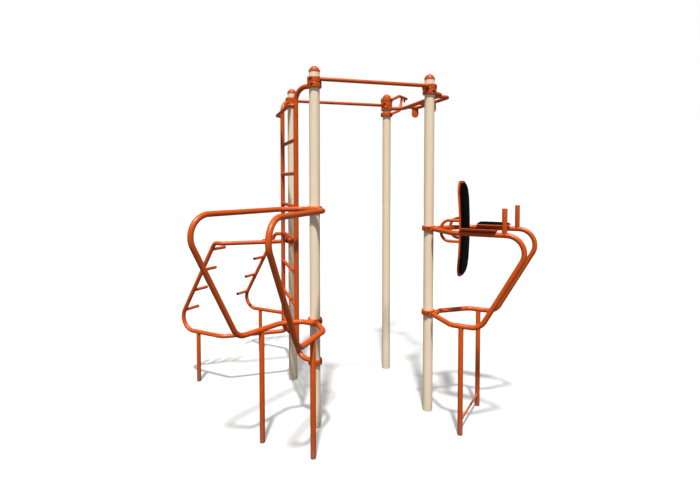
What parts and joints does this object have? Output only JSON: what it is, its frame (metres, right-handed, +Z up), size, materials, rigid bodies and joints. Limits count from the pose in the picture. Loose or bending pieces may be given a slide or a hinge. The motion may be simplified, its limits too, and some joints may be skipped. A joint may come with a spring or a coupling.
{
  "type": "multi-station fitness unit",
  "caption": "Outdoor fitness unit on round posts: pull-up bars, a wall-bar ladder, dip, leg-raise and peg stations, a side grip beam and a bag hanger.",
  "frame": {"origin": "on the ground, under the middle of the whole unit's footprint", "axes": "+Z up along the posts, +X along the front pull-up bar from the ladder side to the grip-beam side, +Y from the front bar to the rear bar"},
  "size_m": [2.4802, 2.6094, 2.5457],
  "materials": {
    "orange_paint": "orange-red powder coat, semi-gloss, on steel",
    "cream_paint": "light cream powder coat, semi-gloss, on steel tube",
    "pad_cover": "black moulded pad, fine grain, matt",
    "bolt_steel": "dark plated bolts, nuts, washers and screws, dressed in the visual model",
    "black_plug": "black moulded end plugs, dressed in the visual model"
  },
  "bodies": {
    "root": {"arm_pad_left": "pad_cover", "arm_pad_right": "pad_cover", "arm_tray_left": "orange_paint", "arm_tray_right": "orange_paint", "back_pad": "pad_cover", "back_plate": "orange_paint", "bag_hanger": "orange_paint", "cap_front_left": "orange_paint", "cap_front_right": "orange_paint", "cap_rear_left": "orange_paint", "cap_rear_right": "orange_paint", "collar_front_left_dip_lower": "orange_paint", "collar_front_left_dip_upper": "orange_paint", "collar_front_left_ladder_foot": "orange_paint", "collar_front_left_ladder_top": "orange_paint", "collar_front_left_pull_up": "orange_paint", "collar_front_right_leg_raise_lower": "orange_paint", "collar_front_right_leg_raise_upper": "orange_paint", "collar_front_right_pull_up": "orange_paint", "collar_front_right_side_beam": "orange_paint", "collar_rear_left_ladder_foot": "orange_paint", "collar_rear_left_ladder_top": "orange_paint", "collar_rear_left_peg_lower": "orange_paint", "collar_rear_left_peg_upper": "orange_paint", "collar_rear_left_pull_up": "orange_paint", "collar_rear_right_bag_arm": "orange_paint", "collar_rear_right_bag_brace": "orange_paint", "collar_rear_right_pull_up": "orange_paint", "collar_rear_right_side_beam": "orange_paint", "dip_leg_left": "orange_paint", "dip_leg_right": "orange_paint", "dip_lower_tube": "orange_paint", "dip_upper_tube": "orange_paint", "front_pull_up_bar": "orange_paint", "ladder_bowed_rung": "orange_paint", "ladder_front_stile": "orange_paint", "ladder_rear_stile": "orange_paint", "ladder_rung_1": "orange_paint", "ladder_rung_2": "orange_paint", "ladder_rung_3": "orange_paint", "ladder_rung_4": "orange_paint", "ladder_rung_5": "orange_paint", "ladder_rung_6": "orange_paint", "ladder_rung_7": "orange_paint", "leg_raise_legs": "orange_paint", "leg_raise_lower_tube": "orange_paint", "leg_raise_upper_tube": "orange_paint", "peg_leg_left": "orange_paint", "peg_leg_right": "orange_paint", "peg_lower_tube": "orange_paint", "peg_rail_left": "orange_paint", "peg_rail_right": "orange_paint", "peg_upper_tube": "orange_paint", "post_front_left": "cream_paint", "post_front_right": "cream_paint", "post_rear_left": "cream_paint", "post_rear_right": "cream_paint", "rear_pull_up_bar": "orange_paint", "side_grip_beam": "orange_paint"}
  },
  "joints": []
}
